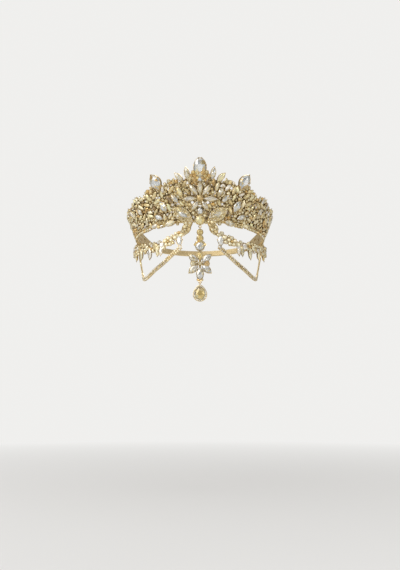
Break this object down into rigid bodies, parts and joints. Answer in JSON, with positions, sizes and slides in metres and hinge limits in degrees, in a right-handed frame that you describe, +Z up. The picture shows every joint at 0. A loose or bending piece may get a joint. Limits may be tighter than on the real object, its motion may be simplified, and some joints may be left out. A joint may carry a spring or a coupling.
{
  "type": "bridal crown",
  "caption": "Flared openwork gilt crown set with cut crystals, with pave wings, side garlands, chain swags and a forehead pendant; worn round the top of the head.",
  "frame": {"origin": "middle of the circle of the band's lower edge, where the head goes in", "axes": "+Z up out of the crown, -Y is the front with the pendant, +X is to the right seen from the front"},
  "size_m": [0.1884, 0.1961, 0.1647],
  "materials": {
    "gilt_metal": "bright gold plate",
    "clear_crystal": "foil-backed cut crystal with a faint iridescent coat",
    "champagne_crystal": "foil-backed cut crystal, champagne"
  },
  "bodies": {
    "crown": {"broad_leaf_left": "clear_crystal", "broad_leaf_right": "clear_crystal", "centre_pear": "clear_crystal", "centre_round": "champagne_crystal", "crown_frame": "gilt_metal", "far_leaf_left": "clear_crystal", "far_leaf_right": "clear_crystal", "flower_bead": "champagne_crystal", "garland_left": "gilt_metal", "garland_right": "gilt_metal", "low_leaf_left": "clear_crystal", "low_leaf_right": "clear_crystal", "middle_leaf_left": "clear_crystal", "middle_leaf_right": "clear_crystal", "peak_stone_left": "clear_crystal", "peak_stone_right": "clear_crystal", "petal_lower_left": "clear_crystal", "petal_lower_right": "clear_crystal", "petal_side_left": "clear_crystal", "petal_side_right": "clear_crystal", "petal_top": "clear_crystal", "petal_upper_left": "clear_crystal", "petal_upper_right": "clear_crystal", "rim_leaf_left": "clear_crystal", "rim_leaf_right": "clear_crystal", "spray_inner_left": "clear_crystal", "spray_inner_right": "clear_crystal", "spray_outer_left": "clear_crystal", "spray_outer_right": "clear_crystal", "swag_chain_left": "gilt_metal", "swag_chain_right": "gilt_metal", "top_stone": "clear_crystal", "upper_leaf_left": "clear_crystal", "upper_leaf_right": "clear_crystal", "wing_left": "gilt_metal", "wing_right": "gilt_metal", "wing_stone_left": "clear_crystal", "wing_stone_right": "clear_crystal"},
    "pendant": {"pendant_stem": "gilt_metal", "star_bottom": "clear_crystal", "star_lower_left": "clear_crystal", "star_lower_right": "clear_crystal", "star_top": "clear_crystal", "star_upper_left": "clear_crystal", "star_upper_right": "clear_crystal", "stem_round": "clear_crystal", "stem_stone_lower": "champagne_crystal", "stem_stone_upper": "champagne_crystal"},
    "drop": {"drop_setting": "gilt_metal", "drop_stone": "champagne_crystal"}
  },
  "joints": [
    {"name": "pendant_swing", "type": "hinge", "parent": "crown", "child": "pendant", "pos_m": [0, -0.082, -0.0067], "axis": [-1, 0, 0], "range_deg": [-50, 55]},
    {"name": "drop_swing", "type": "hinge", "parent": "pendant", "child": "drop", "pos_m": [0, -0.082, -0.0736], "axis": [-1, 0, 0], "range_deg": [-50, 55]}
  ]
}
